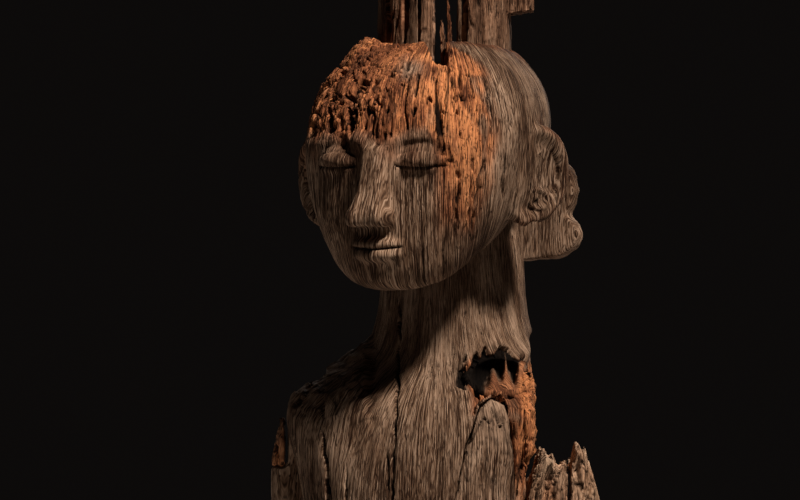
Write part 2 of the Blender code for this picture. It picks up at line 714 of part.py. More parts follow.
# Each stave: its name, its material, and its slices from the seat up. A slice is the share of the
# crest's height, the two angles it lies between, and how much of the wall is gone inside and outside.
STAVES = (
    (
        "crest_stave_outer",
        DARK_WOOD,
        (
            (0.00, -70, -36, 0.0, 0.05),
            (0.30, -69, -38, 0.1, 0.10),
            (0.55, -66, -42, 0.1, 0.02),
            (0.70, -62, -50, 0.2, 0.30),
        ),
    ),
    (
        "crest_stave_first",
        RED_WOOD,
        (
            (0.00, -34.5, -17, 0.0, 0.00),
            (0.25, -33, -17, 0.1, 0.06),
            (0.60, -32, -18, 0.0, 0.04),
            (0.80, -30, -22, 0.2, 0.20),
            (0.86, -28, -24, 0.4, 0.35),
        ),
    ),
    (
        "crest_stave_second",
        GREY_WOOD,
        (
            (0.00, -15.5, -1, 0.0, 0.00),
            (0.22, -15, -1, 0.1, 0.10),
            (0.26, -12, -1, 0.1, 0.10),
            (0.66, -11, -2, 0.0, 0.08),
            (0.84, -9, -4, 0.2, 0.20),
            (0.97, -8, -5, 0.4, 0.35),
        ),
    ),
    (
        "crest_stave_third",
        GREY_WOOD,
        (
            (0.00, 0.5, 12, 0.0, 0.00),
            (0.35, 1, 13, 0.0, 0.05),
            (0.55, 2, 12, 0.1, 0.02),
            (0.74, 4, 9, 0.3, 0.25),
        ),
    ),
    (
        "crest_splinter_short",
        RED_WOOD,
        (
            (0.00, 19, 24, 0.2, 0.10),
            (0.12, 18, 24, 0.2, 0.10),
            (0.24, 17, 22, 0.3, 0.15),
            (0.32, 18, 20, 0.4, 0.30),
        ),
    ),
    (
        "crest_splinter_tall",
        RED_WOOD,
        (
            (0.00, 25.5, 31, 0.1, 0.10),
            (0.14, 25, 30, 0.1, 0.20),
            (0.28, 24, 28, 0.2, 0.20),
            (0.42, 23, 26, 0.4, 0.35),
        ),
    ),
    (
        "crest_strip",
        DARK_WOOD,
        (
            (0.00, 34, 39, 0.3, 0.25),
            (0.30, 34, 38, 0.3, 0.30),
            (0.60, 35, 38, 0.4, 0.30),
            (0.66, 36, 37.5, 0.5, 0.40),
        ),
    ),
    (
        "crest_rear_board",
        GREY_WOOD,
        (
            (0.00, 41, 118, 0.0, 0.00),
            (0.34, 42, 118, 0.0, 0.00),
            (0.36, 42, 122, 0.0, -1.30),
            (0.62, 43, 121, 0.0, -1.15),
            (0.80, 46, 114, 0.1, -0.55),
            (0.92, 52, 100, 0.2, -0.20),
            (1.00, 58, 84, 0.4, 0.10),
        ),
    ),
    (
        "crest_rear_stub",
        DARK_WOOD,
        (
            (0.00, 122, 176, 0.0, 0.05),
            (0.22, 123, 170, 0.1, 0.10),
            (0.34, 128, 158, 0.2, 0.20),
            (0.42, 134, 148, 0.4, 0.30),
        ),
    ),
)


def make_crest():
    """The parted staves of the crest's wall, standing in their seat."""
    for name, finish, slices in STAVES:
        rings = [
            stave_ring(
                start,
                end,
                CREST_RADIUS - CREST_WALL * (1 - gone_inside),
                CREST_RADIUS - CREST_WALL * gone_outside,
                CREST_SEAT_Z + TOUCH + share * CREST_HEIGHT,
            )
            for share, start, end, gone_inside, gone_outside in slices
        ]
        loft(name, rings, finish)


def make_figure():
    form = make_trunk()
    form.name = "figure_as_carved"
    combine(form, make_head(), "UNION")
    for side, sign in (("right", -1), ("left", 1)):
        combine(form, make_arm(side, sign), "UNION")
    # The carver left the left armpit blind: a web of wood joins the arm to the flank.
    web_at = (wide_of(0.82), 0.10 * TRUNK_HALF_DEPTH, trunk_level(0.79))
    combine(form, ball("left_armpit_web", web_at, ARMPIT_WEB_RADII, sides=14, rows=10), "UNION")
    carve_nape_board(form)
    carve_ears(form)
    carve_face(form)
    sound = solid_copy(form, "sound_form")
    log = placed("figure_log", sound.data.copy(), GREY_WOOD)
    part_right_shoulder(sound, log)
    part_left_shoulder(sound, log)
    part_left_plate(sound, log)
    hollow_crown(log)
    for side in ("right", "left"):
        combine(log, bpy.data.objects[f"rod_bore_{side}"], "DIFFERENCE")
    weld(log)


make_stand()
make_figure()
make_crest()
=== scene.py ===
"""The looks of a carved ancestor figure: one weathered log with a rotted crest, on a steel rod stand."""

import itertools
import math

import bpy
import mathutils
import numpy as np
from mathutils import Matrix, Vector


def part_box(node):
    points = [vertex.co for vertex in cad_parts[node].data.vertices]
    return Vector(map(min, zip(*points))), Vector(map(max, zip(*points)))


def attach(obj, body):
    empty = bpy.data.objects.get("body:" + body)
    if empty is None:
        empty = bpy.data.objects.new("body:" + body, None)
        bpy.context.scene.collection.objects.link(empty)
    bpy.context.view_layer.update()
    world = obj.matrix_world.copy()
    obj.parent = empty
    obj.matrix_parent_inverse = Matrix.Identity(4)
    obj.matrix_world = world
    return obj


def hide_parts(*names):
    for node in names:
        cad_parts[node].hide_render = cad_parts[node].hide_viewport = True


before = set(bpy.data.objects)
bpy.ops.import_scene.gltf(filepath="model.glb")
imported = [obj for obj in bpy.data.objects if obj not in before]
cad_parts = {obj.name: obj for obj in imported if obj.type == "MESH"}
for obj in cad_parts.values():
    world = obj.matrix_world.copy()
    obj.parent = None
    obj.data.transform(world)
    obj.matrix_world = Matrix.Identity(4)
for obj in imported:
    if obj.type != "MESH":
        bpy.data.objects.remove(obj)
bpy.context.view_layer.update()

# ---------------------------------------------------------------------------------------------
# The camera stands a little to the figure's left, level with its chin. Its lens is long, and its
# frame takes in the head and the shoulders.
log_low, log_high = (np.array(corner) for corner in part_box("figure_log"))
VIEW_TURN = math.radians(22)
VIEW_DISTANCE = 3.0
VIEW_WIDTH = 0.64  # across the frame at the log's axis
LOOK_ASIDE, LOOK_BELOW_CROWN = -0.0256, 0.1666
bpy.ops.object.camera_add(
    location=(
        LOOK_ASIDE * math.cos(VIEW_TURN) + VIEW_DISTANCE * math.sin(VIEW_TURN),
        LOOK_ASIDE * math.sin(VIEW_TURN) - VIEW_DISTANCE * math.cos(VIEW_TURN),
        log_high[2] - LOOK_BELOW_CROWN,
    ),
    rotation=(math.radians(90), 0, VIEW_TURN),
)
camera = bpy.context.object
camera.data.lens = camera.data.sensor_width * VIEW_DISTANCE / VIEW_WIDTH
camera.data.clip_end = 50
bpy.context.scene.camera = camera


# ---------------------------------------------------------------------------------------------
# The log. One piece of hardwood carries the head, neck, trunk and arms. Its sound skin is dry and
# grey-brown, ribbed by its own grain; over the brow and crown it has rotted to rust-brown blocks.
GRAIN_TURN = math.radians(31)  # turns the noise lattice away from the figure's own front
PITH_Y, GRAIN_ROUND = 0.024, 0.095  # the log's pith, and how far from it every point's grain is read
CREST_Y = 0.026  # the crest's axis


def deselect():
    bpy.ops.object.select_all(action="DESELECT")


def copy_node(node, name):
    """A loose copy of a CAD node, with its triangles joined up."""
    deselect()
    piece = bpy.data.objects.new(name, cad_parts[node].data.copy())
    bpy.context.scene.collection.objects.link(piece)
    piece.data.materials.clear()
    piece.select_set(True)
    bpy.context.view_layer.objects.active = piece
    bpy.ops.object.mode_set(mode="EDIT")
    bpy.ops.mesh.select_all(action="SELECT")
    bpy.ops.mesh.remove_doubles(threshold=0.00001)
    bpy.ops.object.mode_set(mode="OBJECT")
    return piece


def apply_modifier(piece, kind, **settings):
    """Adds a modifier with these settings and applies it."""
    deselect()
    piece.select_set(True)
    bpy.context.view_layer.objects.active = piece
    modifier = piece.modifiers.new(kind.lower(), kind)
    for name, value in settings.items():
        setattr(modifier, name, value)
    bpy.ops.object.modifier_apply(modifier=modifier.name)


def points_of(piece):
    values = np.empty(len(piece.data.vertices) * 3)
    piece.data.vertices.foreach_get("co", values)
    return values.reshape(-1, 3)


def normals_of(piece):
    values = np.empty(len(piece.data.vertices) * 3)
    piece.data.vertex_normals.foreach_get("vector", values)
    return values.reshape(-1, 3)


def move_points(piece, points):
    piece.data.vertices.foreach_set("co", points.ravel())
    piece.data.update()


def store(piece, name, values):
    """Keeps one number per point on the mesh, for the material to read."""
    layer = piece.data.attributes.new(name, "FLOAT", "POINT")
    layer.data.foreach_set("value", np.clip(values, 0, 1).astype(np.float32))


def store_grain(piece, places):
    """Keeps on the mesh the place in the wood that each point's grain is read from."""
    layer = piece.data.attributes.new("grain", "FLOAT_VECTOR", "POINT")
    layer.data.foreach_set("vector", places.astype(np.float32).ravel())


def round_the_pith(points):
    """Each point moved straight out from the log's pith to one even distance, where its grain is read."""
    x, y, z = points.T
    spread = GRAIN_ROUND / (np.hypot(x, y - PITH_Y) + 0.0001)
    return np.column_stack((x * spread, PITH_Y + (y - PITH_Y) * spread, z))


def ramp(values, start, end):
    """0 before start, 1 after end, and a smooth rise between; start may be the larger."""
    share = np.clip((values - start) / (end - start), 0, 1)
    return share * share * (3 - 2 * share)


def lattice(points, size):
    """Points in cells of this size, well clear of zero and turned away from the figure's front."""
    c, s = math.cos(GRAIN_TURN), math.sin(GRAIN_TURN)
    x, y, z = points.T
    turned = np.column_stack((x * c - y * s, x * s + y * c, z))
    scaled = turned / np.asarray(size) + 512.0
    whole = np.floor(scaled).astype(int)
    return whole, scaled - whole


def noise(points, size, seed):
    """Smooth values between -1 and 1, with features of this size along each axis."""
    table = np.random.default_rng(seed).uniform(-1, 1, 32**3)
    whole, part = lattice(points, size)
    part = part * part * (3 - 2 * part)
    total = np.zeros(len(points))
    for a, b, c in itertools.product((0, 1), repeat=3):
        i, j, k = (whole[:, axis] + step & 31 for axis, step in enumerate((a, b, c)))
        u, v, w = (part[:, axis] if step else 1 - part[:, axis] for axis, step in enumerate((a, b, c)))
        total += u * v * w * table[(i << 10) + (j << 5) + k]
    return total


def blocks(points, size, seed):
    """Splits space into ragged blocks: how far a point is from the nearest wall, and its block's tone."""
    table = np.random.default_rng(seed).random((32**3, 4))
    whole, part = lattice(points, size)
    near, second = np.full(len(points), 9.0), np.full(len(points), 9.0)
    tone = np.zeros(len(points))
    for step in itertools.product((-1, 0, 1), repeat=3):
        i, j, k = (whole + step & 31).T
        x, y, z, block_tone = table[(i << 10) + (j << 5) + k].T
        across, along, up = (step - part).T
        gap = np.sqrt((x + across) ** 2 + (y + along) ** 2 + (z + up) ** 2)
        closer = gap < near
        second = np.where(closer, near, np.minimum(second, gap))
        tone = np.where(closer, block_tone, tone)
        near = np.minimum(near, gap)
    return second - near, tone


def fissures(points, size, width, seed):
    """1 in the dark lines that wander through wood of this grain, 0 between them."""
    return ramp(np.abs(noise(points, size, seed)), width, 0.15 * width)


def patches(points, size, seed, start, end):
    """1 in soft-edged patches of this size, and 0 between them, for what comes and goes."""
    return ramp(noise(points, size, seed), start, end)


def across_split(points):
    """Where points lie across and along the planes that the log split on."""
    c, s = math.cos(VIEW_TURN), math.sin(VIEW_TURN)
    return points[:, 0] * c + points[:, 1] * s, -points[:, 0] * s + points[:, 1] * c


class Wire:
    """A number or colour that runs through a material's nodes. Sums on wires add Math nodes."""

    def __init__(self, tree, socket=None):
        self.tree, self.socket = tree, socket

    def node(self, kind, values, output=0, stops=(), **settings):
        """Adds a node: its settings and ramp stops first, then the values or wires of its inputs."""
        made = self.tree.nodes.new("ShaderNode" + kind)
        for name, value in settings.items():
            setattr(made, name, value)
        for place, (position, colour) in enumerate(stops):
            elements = made.color_ramp.elements
            element = elements[place] if place < 2 else elements.new(position)
            element.position, element.color = position, (*colour, 1)
        for name, value in values.items():
            if isinstance(value, Wire):
                self.tree.links.new(value.socket, made.inputs[name])
            else:
                made.inputs[name].default_value = value
        return Wire(self.tree, made.outputs[output])

    def maths(self, operation, *values, **settings):
        return self.node("Math", dict(enumerate(values)), operation=operation, **settings)

    def __add__(self, other):
        return self.maths("ADD", self, other)

    def __sub__(self, other):
        return self.maths("SUBTRACT", self, other)

    def __rsub__(self, other):
        return self.maths("SUBTRACT", other, self)

    def __mul__(self, other):
        return self.maths("MULTIPLY", self, other)

    __radd__, __rmul__ = __add__, __mul__

    def rise(self, start, end):
        """0 up to start, 1 from end on, smooth between; start may be the larger."""
        low, high = (0.0, 1.0) if start < end else (1.0, 0.0)
        values = {"From Min": min(start, end), "From Max": max(start, end), "To Min": low, "To Max": high}
        return self.node("MapRange", {"Value": self, **values}, interpolation_type="SMOOTHSTEP")

    def stretched(self, across, along):
        """This place in the wood, in features of these sizes across and along the grain, in metres."""
        per_metre = (1 / across, 1 / across, 1 / along)
        return self.node("VectorMath", {0: self, 1: per_metre}, operation="MULTIPLY")

    def noise(self, across, along, detail=2.0, roughness=0.5):
        place = self.stretched(across, along)
        values = {"Vector": place, "Scale": 1.0, "Detail": detail, "Roughness": roughness}
        return self.node("TexNoise", values)

    def blend(self, first, second):
        """The first colour where this wire is 0, the second where it is 1."""
        colours = {6 + i: c if isinstance(c, Wire) else (*c, 1) for i, c in enumerate((first, second))}
        return self.node("Mix", {0: self, **colours}, output=2, data_type="RGBA")


def new_material(name):
    """A material, and a wire to start its nodes from."""
    material = bpy.data.materials.new(name)
    material.use_nodes = True
    return material, Wire(material.node_tree)


DRY_SHINE = 0.06  # weathered wood and felt reflect very little, and old paint not much more


def finish_material(material, start, colour, roughness, height, depth):
    """Joins a colour, a roughness and a height in metres to the material's shader."""
    shader = material.node_tree.nodes["Principled BSDF"]
    bump = start.node("Bump", {"Height": height, "Distance": depth, "Strength": 1.0})
    for name, wire in (("Base Color", colour), ("Roughness", roughness), ("Normal", bump)):
        material.node_tree.links.new(wire.socket, shader.inputs[name])
    shader.inputs["Specular IOR Level"].default_value = DRY_SHINE


RING_WIDTH, GRAIN_DEPTH = 0.0034, 0.00065
# Painted shade: the near-black colour put into splits, checks, pits and holes.
DEEP_SHADE = (0.0016, 0.0010, 0.0008)  # what is left to see at the bottom of a split


def wood(name, dark, middle, pale, rot_dark, rot_middle, rot_pale):
    """Dry open-grained wood. The mesh says where it is rotted, bleached or bright orange, and where it is
    drawn towards near black: shade painted into its splits, checks, pits and holes, and a darker patch.
    """
    material, start = new_material(name)
    still = start.node("Attribute", {}, output=1, attribute_name="grain")
    marks = ("rot", "shade_and_darkening", "bleach", "ember")
    rot, shade_and_darkening, bleach, ember = (
        start.node("Attribute", {}, output=2, attribute_name=mark) for mark in marks
    )

    # The grain wanders a few millimetres to either side on its way up the log.
    slow = {"Vector": still.stretched(0.040, 0.120), "Scale": 1.0, "Detail": 1.0}
    wander = start.node("TexNoise", slow, output=1)
    aside = start.node("VectorMath", {0: wander, 1: (0.5, 0.5, 0.5)}, operation="SUBTRACT")
    aside = start.node("VectorMath", {0: aside, 1: (0.009, 0.009, 0.0)}, operation="MULTIPLY")
    place = start.node("VectorMath", {0: still, 1: aside}, operation="ADD")

    # Ridges a millimetre or so apart, fine fibres between them, wider grooves and short open pores.
    ridge = place.noise(0.00062, 0.070, detail=2, roughness=0.65)
    fibre = place.noise(0.00036, 0.012, detail=1, roughness=0.6)
    pore = place.noise(0.00065, 0.0070, detail=1).rise(0.57, 0.65)
    groove = place.noise(0.0012, 0.110, detail=1).rise(0.39, 0.32)
    broad = still.noise(0.030, 0.075, detail=4, roughness=0.6)
    speck = place.noise(0.0012, 0.0026, detail=2).rise(0.58, 0.70)
    stain = still.noise(0.012, 0.03, detail=3).rise(0.56, 0.70)

    # Hairline checks follow the grain, and come and go.
    hair = place.noise(0.0024, 0.070, detail=0) - 0.5
    hair = hair.maths("ABSOLUTE", hair).rise(0.026, 0.008)
    hair = hair * still.noise(0.010, 0.040, detail=1).rise(0.42, 0.56)

    # The year's rings show as contour lines wherever the carver cut across them.
    flat = start.node("VectorMath", {0: place, 1: (1.0, 1.0, 0.0)}, operation="MULTIPLY")
    radius = start.node("VectorMath", {0: flat}, output=1, operation="LENGTH")
    turns = radius * (2 * math.pi / RING_WIDTH) + broad * 14
    ring = turns.maths("SINE", turns)

    combed = still.noise(0.040, 0.060, detail=1).rise(0.36, 0.62)
    ridge = (ridge - 0.5) * (0.42 + combed * 0.58) + 0.5
    tone = ridge * 1.60 + fibre * 0.95 + broad * 1.15 + ring * 0.015
    tone = tone - groove * (combed * 0.26 + 0.08) - 1.33
    sound = start.node("ValToRGB", {"Fac": tone}, stops=[(0.26, dark), (0.50, middle), (0.76, pale)])
    rotten_tone = ridge * 1.2 + fibre * 0.8 + broad * 1.2 + ember * 0.34 - groove * 0.16 - 1.25
    rot_stops = [(0.26, rot_dark), (0.50, rot_middle), (0.74, rot_pale)]
    rotten = start.node("ValToRGB", {"Fac": rotten_tone}, stops=rot_stops)
    colour = (rot * (1 - stain * 0.35)).blend(sound, rotten)
    colour = (bleach * (0.40 + broad * 0.9)).blend(colour, pale)
    colour = (pore * (1 - bleach * 0.5) * 0.80).blend(colour, dark)
    colour = (speck * rot * 0.55).blend(colour, rot_dark)
    colour = (hair * 0.75).blend(colour, dark)
    # Painted shade: splits, checks, pits and holes are mixed towards near black. The darker patch on the
    # left of the skull gets a weaker share of the same mix.
    colour = (shade_and_darkening * 0.98).blend(colour, DEEP_SHADE)
    height = ridge * 1.0 + fibre * 0.35 + ring * 0.03 - groove * 0.45 - pore * 0.55 - hair * 0.9
    height = height - speck * (0.02 + rot * 0.45)
    finish_material(material, start, colour, 0.74 + fibre * 0.2, height, GRAIN_DEPTH)
    return material


HEAD_AXIS_Y = -0.008
CHIN_Z = log_high[2] - 0.199
SHOULDER_Z = log_high[2] - 0.275
BROW_Z = log_high[2] - 0.080
FINE_FROM_Z = SHOULDER_Z - 0.10
LOG_GRID = 0.0025
MOST_TRIANGLES, TRUNK_TRIANGLES = 197000, 48000

log = copy_node("figure_log", "weathered_log")
apply_modifier(log, "REMESH", mode="VOXEL", voxel_size=LOG_GRID)
apply_modifier(log, "SMOOTH", factor=0.5, iterations=4)
# The head and the shoulders get three times the mesh of the rest.
bpy.ops.object.mode_set(mode="EDIT")
bpy.ops.mesh.select_mode(type="FACE")
bpy.ops.mesh.select_all(action="DESELECT")
bpy.ops.object.mode_set(mode="OBJECT")
for face in log.data.polygons:
    place = face.center
    face.select = place.z > CHIN_Z - 0.012 or (place.z > FINE_FROM_Z and place.y < 0.02)
bpy.ops.object.mode_set(mode="EDIT")
bpy.ops.mesh.subdivide(number_cuts=2, smoothness=0)
bpy.ops.object.mode_set(mode="OBJECT")
apply_modifier(log, "SMOOTH", factor=0.5, iterations=3)

points, normals = points_of(log), normals_of(log)
x, y, z = points.T
turn = np.degrees(np.arctan2(x, HEAD_AXIS_Y - y))
across, along = across_split(points)
flow = round_the_pith(points)
sunk = np.zeros(len(points))  # how far each point is carved or rotted in, in metres
shade_and_darkening, rot, bleach, ember = (np.zeros(len(points)) for _ in range(4))

# Broad ripples that the adze and the weather left all over, drawn out along the grain, and the
# fine checks that opened as it dried.
sunk += 0.0009 * noise(points, (0.016, 0.016, 0.06), 1) + 0.0005 * noise(flow, (0.0040, 0.0040, 0.08), 2)
checks = fissures(flow, (0.0080, 0.0080, 0.110), 0.045, 50)
checks *= patches(points, (0.02, 0.02, 0.05), 51, 0.0, 0.35)
sunk += 0.0013 * checks
# The checks are painted with shade.
shade_and_darkening = np.maximum(shade_and_darkening, 0.8 * checks)


def swell(centre, size, places=None):
    """A soft hill over this (across, up) place on a front: 1 at its centre, 0 past its size."""
    where = places or (x, z)
    far = sum(((p - c) / s) ** 2 for p, c, s in zip(where, centre, size))
    return np.exp(-2.5 * far)


def stroke(offset, reach):
    """1 along a cut or a ridge, less with the offset from it, and almost 0 at twice its reach."""
    return np.exp(-((offset / reach) ** 2))


# The face: brows, closed lids, a straight nose and a level mouth, all cut with a broad chisel.
EYE_Z, NOSE_Z, MOUTH_Z = CHIN_Z + 0.101, CHIN_Z + 0.0505, CHIN_Z + 0.0333
EYE_OUT, EYE_HALF_WIDTH = 0.0355, 0.0195
LASH_CUT, LID_CUT, WING_CUT, MOUTH_CUT, UNDER_NOSE_CUT = 0.0024, 0.0014, 0.0009, 0.0028, 0.0010
BROW_STANDS, LID_STANDS, WING_STANDS, CHEEK_STANDS, CHIN_STANDS = 0.0022, 0.0016, 0.0020, 0.0022, 0.0022
UPPER_LIP_STANDS, LOWER_LIP_STANDS = 0.0022, 0.0026
front = ramp(y, HEAD_AXIS_Y - 0.055, HEAD_AXIS_Y - 0.085) * ramp(z, CHIN_Z - 0.006, CHIN_Z + 0.004)
side = np.abs(x)
from_eye = (side - EYE_OUT) / EYE_HALF_WIDTH
brow_line = EYE_Z + 0.0185 - 0.0065 * ((side - 0.032) / 0.024) ** 2
brow_ends = ramp(side, 0.064, 0.050) * ramp(side, 0.004, 0.012)
sunk -= front * BROW_STANDS * stroke(z - brow_line, 0.0042) * brow_ends
within = ramp(np.abs(from_eye), 1.06, 0.90)
lash = EYE_Z - 0.0035 - 0.0022 * (1 - np.clip(from_eye, -1, 1) ** 2)
sunk += front * within * LASH_CUT * stroke(z - lash, 0.0011)
crease = EYE_Z + 0.0012 + 0.0072 * np.sqrt(np.clip(1 - from_eye**2, 0, 1))
sunk += front * within * LID_CUT * stroke(z - crease, 0.0010)
sunk -= front * LID_STANDS * swell((EYE_OUT, EYE_Z), (0.020, 0.0075), (side, z))
sunk -= front * WING_STANDS * swell((0.0118, NOSE_Z + 0.0065), (0.0062, 0.0085), (side, z))
wing = np.hypot((side - 0.0105) / 0.0075, (z - NOSE_Z - 0.0070) / 0.0100)
sunk += front * WING_CUT * stroke(wing - 1.0, 0.16) * ramp(side, 0.011, 0.015)
mouth = ramp(side, 0.0225, 0.0190)
part_line = MOUTH_Z + 0.0012 * (side / 0.02) ** 2 - 0.0006 * stroke(side, 0.004)
upper_lip = stroke(z - part_line - 0.0040, 0.0034) * ramp(side, 0.023, 0.006)
lower_lip = stroke(z - part_line + 0.0048, 0.0040) * ramp(side, 0.020, 0.004)
sunk -= front * mouth * (UPPER_LIP_STANDS * upper_lip + LOWER_LIP_STANDS * lower_lip)
sunk += front * mouth * MOUTH_CUT * stroke(z - part_line, 0.00095)
sunk += front * UNDER_NOSE_CUT * swell((0.0, MOUTH_Z + 0.0115), (0.0030, 0.0050))
sunk -= front * CHIN_STANDS * swell((0.0, CHIN_Z + 0.0105), (0.0150, 0.0100))
sunk -= front * CHEEK_STANDS * swell((0.046, CHIN_Z + 0.066), (0.0200, 0.0220), (side, z))
# The lash cuts and the parting of the lips are painted with shade.
carved = stroke(z - lash, 0.0009) * within + mouth * stroke(z - part_line, 0.0007)
shade_and_darkening = np.maximum(shade_and_darkening, 0.75 * front * carved)

# The ears: a broad flat shell with a raised rim, a curl over its bowl, and a worn lower edge.
EAR_TURN, EAR_LEAN = math.radians(40), math.radians(12)
EAR_HALF_WIDTH, EAR_HALF_HEIGHT = 0.031, 0.040
EAR_ROOT = (0.0893, -0.0177, CHIN_Z + 0.0909)
BOWL_DEPTH, RIM_STANDS, CURL_STANDS, EDGE_WORN = 0.0062, 0.0018, 0.0030, 0.0032
for sign in (-1, 1):
    lean = mathutils.Matrix.Rotation(sign * EAR_LEAN, 3, "Y")
    turned = mathutils.Matrix.Rotation(sign * EAR_TURN, 3, "Z") @ lean
    root = np.array((sign, 1, 1)) * EAR_ROOT
    out, thick, up = ((points - root) @ np.array(turned)).T * [[sign], [1], [1]]
    u, v = out / EAR_HALF_WIDTH, up / EAR_HALF_HEIGHT
    reach = np.hypot(u, v)
    flap = ramp(side, 0.078, 0.083) * (np.abs(thick) < 0.018)
    flap *= ramp(reach, 1.25, 1.05) * ramp(u, -0.30, 0.05)
    face_on = ramp(thick, 0.002, -0.002)
    sunk += flap * face_on * BOWL_DEPTH * ramp(reach, 0.92, 0.66)
    sunk -= flap * RIM_STANDS * face_on * ramp(reach, 0.76, 0.90)
    curl = np.hypot((u - 0.33) / 0.26, (v + 0.42) / 0.21)
    sunk -= flap * face_on * CURL_STANDS * stroke(curl - 1, 0.20) * ramp(u - 0.4 * v, 0.25, 0.5)
    sunk += EDGE_WORN * flap * ramp(v, -0.35, -0.75) * patches(points, (0.004, 0.004, 0.02), 31, -0.2, 0.5)
    rot += flap * ramp(reach, 0.84, 0.98) * 0.75 * patches(points, (0.008, 0.008, 0.02), 32, -0.5, 0.2)

# Rot over the brow, crown and left temple. Over the right of the brow it stands in lumps and columns
# with deep gaps; towards the left it is split into long splinters.
ragged = noise(points, (0.016, 0.016, 0.026), 3) + 0.5 * noise(points, (0.005, 0.005, 0.02), 4)
skull = ramp(z + 0.007 * ragged, BROW_Z - 0.006, BROW_Z + 0.010)
brow = skull * ramp(turn, -125, -105) * ramp(turn + 7 * ragged, 53, 44)
temple = ramp(z + 0.012 * ragged, CHIN_Z + 0.025, CHIN_Z + 0.065) * (1 - skull)
temple *= ramp(turn, 20, 30) * ramp(turn + 6 * ragged, 53, 42)
lumpy = brow * ramp(turn + 6 * ragged, 14, -2)
splintery = np.clip(brow - lumpy, 0, 1) + 0.5 * temple
where = (lumpy > 0.01) | (splintery > 0.01)
near, stream = points[where], flow[where]
wander = np.column_stack([noise(near, (0.008, 0.008, 0.016), seed) for seed in (5, 6, 7)])
bent = near + 0.0030 * wander
crust_from = BROW_Z + 0.041 + 0.022 * ramp(turn[where], -38, -12) + 0.003 * ragged[where]
high = ramp(z[where], crust_from - 0.001, crust_from + 0.003)
# Above: a crust of knots with short upright holes. Below: columns with deep gaps between them.
wall, crumb_tone = blocks(bent, (0.0068, 0.0068, 0.0088), 8)
fine_wall, fine_tone = blocks(bent, (0.0034, 0.0034, 0.0044), 12)
crust = 0.0026 * ramp(wall, 0.26, 0.0) + 0.0034 * crumb_tone
crust += 0.0005 * ramp(fine_wall, 0.3, 0.0) + 0.0006 * fine_tone
pits = patches(bent, (0.0036, 0.0036, 0.0090), 13, 0.26, 0.46)
pits *= patches(near, (0.018, 0.018, 0.010), 14, -0.25, 0.15)
gaps = fissures(bent, (0.0070, 0.0070, 0.060), 0.26, 15)
gaps *= patches(near, (0.014, 0.014, 0.04), 24, -0.45, 0.0)
seams = fissures(bent, (0.0036, 0.0036, 0.045), 0.17, 16)
seams *= patches(near, (0.01, 0.01, 0.03), 17, -0.35, 0.1)
ledges = ramp(np.abs(noise(bent, (0.0085, 0.0085, 0.0075), 18)), 0.08, 0.0) * (1 - high)
column_tone = blocks(bent, (0.0065, 0.0065, 0.045), 11)[1]
columns = 0.0016 + 0.0066 * gaps + 0.0030 * seams + 0.0016 * ledges
columns += 0.0030 * column_tone + 0.0005 * fine_tone
sunk[where] += lumpy[where] * (high * (crust + 0.0058 * pits) + (1 - high) * columns)
# The pits, the gaps between the knots and the gaps between the columns are painted with shade.
crust_shade, gap_shade = np.maximum(pits, 0.45 * ramp(wall, 0.10, 0.0)), np.maximum(gaps, 0.8 * seams)
lumps_shade = ramp(high * crust_shade + (1 - high) * gap_shade, 0.35, 0.95)
# To the left: thin splinters that run down to the cheek, torn open here and there.
frayed = stream + 0.0008 * wander
tears = fissures(frayed, (0.0036, 0.0036, 0.080), 0.17, 19)
tears *= patches(near, (0.010, 0.010, 0.035), 20, -0.20, 0.15)
strand_wall, strand = blocks(frayed, (0.0021, 0.0021, 0.060), 9)
holes = patches(near, (0.0034, 0.0034, 0.0100), 23, 0.60, 0.72)
torn = 0.0038 * tears + 0.0018 * strand + 0.0006 * ramp(strand_wall, 0.25, 0) + 0.0040 * holes
sunk[where] += splintery[where] * torn
# The tears and holes in the splinters are painted with shade.
tears_shade = ramp(ramp(tears, 0.4, 1.0) + holes, 0.3, 0.9)
shade_and_darkening[where] = np.maximum(shade_and_darkening[where], lumpy[where] * lumps_shade + splintery[where] * tears_shade)
rot += brow + 0.85 * temple
below_brow = ramp(z + 0.010 * ragged, BROW_Z - 0.034, BROW_Z - 0.002) * (1 - skull)
below_brow *= ramp(turn, -110, -80) * ramp(turn, 62, 50)
rot += 0.65 * below_brow * patches(flow, (0.006, 0.006, 0.03), 25, -0.6, 0.5)
ember += 0.45 * temple + 0.45 * lumpy
ember += 0.9 * splintery * ramp(turn, 0, 20) * patches(points, (0.014, 0.014, 0.03), 26, -0.8, 0.2)
# The crown's crust mounds up at the right, and a cleft runs down into it beside the staves.
mound = 0.0060 * swell((-0.058, BROW_Z + 0.068), (0.018, 0.014), (across, z))
sunk -= mound * ramp(turn, 20, -10) * (along < 0.04)
sunk -= 0.0090 * swell((-0.051, BROW_Z + 0.079), (0.015, 0.013), (across, z)) * (along < 0.03)
notch = ramp(np.abs(across - 0.0040 + 0.10 * (along + 0.05)), 0.0085, 0.0015)
notch *= ramp(z, BROW_Z + 0.040, BROW_Z + 0.062) * ramp(along, 0.0, -0.01) * ramp(along, -0.085, -0.060)
# The cleft is painted with shade.
shade_and_darkening = np.maximum(shade_and_darkening, 0.85 * notch)
bleach += 0.9 * swell((-0.018, BROW_Z + 0.056), (0.014, 0.012), (across, z)) * (along < 0)
seat_rim = ramp(np.hypot(x, y - CREST_Y), 0.075, 0.060) * ramp(z, BROW_Z + 0.03, BROW_Z + 0.05)
rot += 0.8 * seat_rim * (turn > 0)
# The sound wood on the left of the skull is drawn darker.
darker_left_skull = ramp(turn, 50, 72) * ramp(z, CHIN_Z + 0.04, CHIN_Z + 0.09) * (1 - brow)
shade_and_darkening = np.maximum(shade_and_darkening, 0.22 * darker_left_skull)


